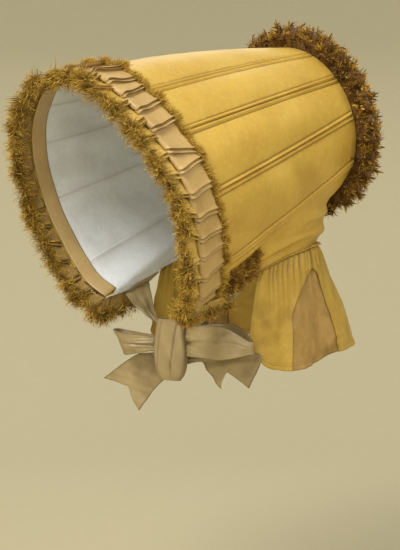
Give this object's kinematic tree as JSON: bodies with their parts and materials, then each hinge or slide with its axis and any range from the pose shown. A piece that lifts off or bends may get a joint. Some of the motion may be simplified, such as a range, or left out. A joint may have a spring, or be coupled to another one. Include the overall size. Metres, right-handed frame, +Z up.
{
  "type": "bonnet",
  "caption": "Corded gold silk bonnet with a deep funnel brim, pleated and frayed ruches, a neck curtain with tan insets, an ivory lining and taupe ribbon ties in a bow.",
  "frame": {"origin": "the place on the inside of the lining where the top of the wearer's head rests", "axes": "+Z up, the wearer faces -Y and the wearer's left is +X"},
  "size_m": [0.2386, 0.3732, 0.3882],
  "materials": {
    "gold_silk": "golden yellow silk taffeta, soft sheen",
    "tan_satin": "tan satin, soft sheen",
    "lining_silk": "ivory silk lining, matt",
    "ruche_silk": "tan silk pleats with a frayed olive-gold edge",
    "frill_silk": "golden silk pleats with a frayed olive-gold edge",
    "brown_silk": "dark brown and gold frayed silk ruche",
    "neck_trim_silk": "tan ribbon with a dark brown and gold fringe",
    "bow_satin": "taupe satin ribbon, smooth sheen"
  },
  "bodies": {
    "root": {"crown_shell": "gold_silk", "crown_tip": "gold_silk", "lining": "lining_silk", "brim_binding": "tan_satin", "brim_ruche": "ruche_silk", "brim_frill": "frill_silk", "crown_ruche": "brown_silk", "neck_trim_left": "neck_trim_silk", "neck_trim_right": "neck_trim_silk", "curtain_side_left": "gold_silk", "curtain_side_right": "gold_silk", "curtain_back": "gold_silk", "curtain_inset_left": "tan_satin", "curtain_inset_right": "tan_satin", "bow_knot": "bow_satin", "bow_loop_left": "bow_satin", "bow_loop_right": "bow_satin", "bow_tail_left": "bow_satin", "bow_tail_right": "bow_satin", "tie_left": "bow_satin", "tie_right": "bow_satin"}
  },
  "joints": []
}
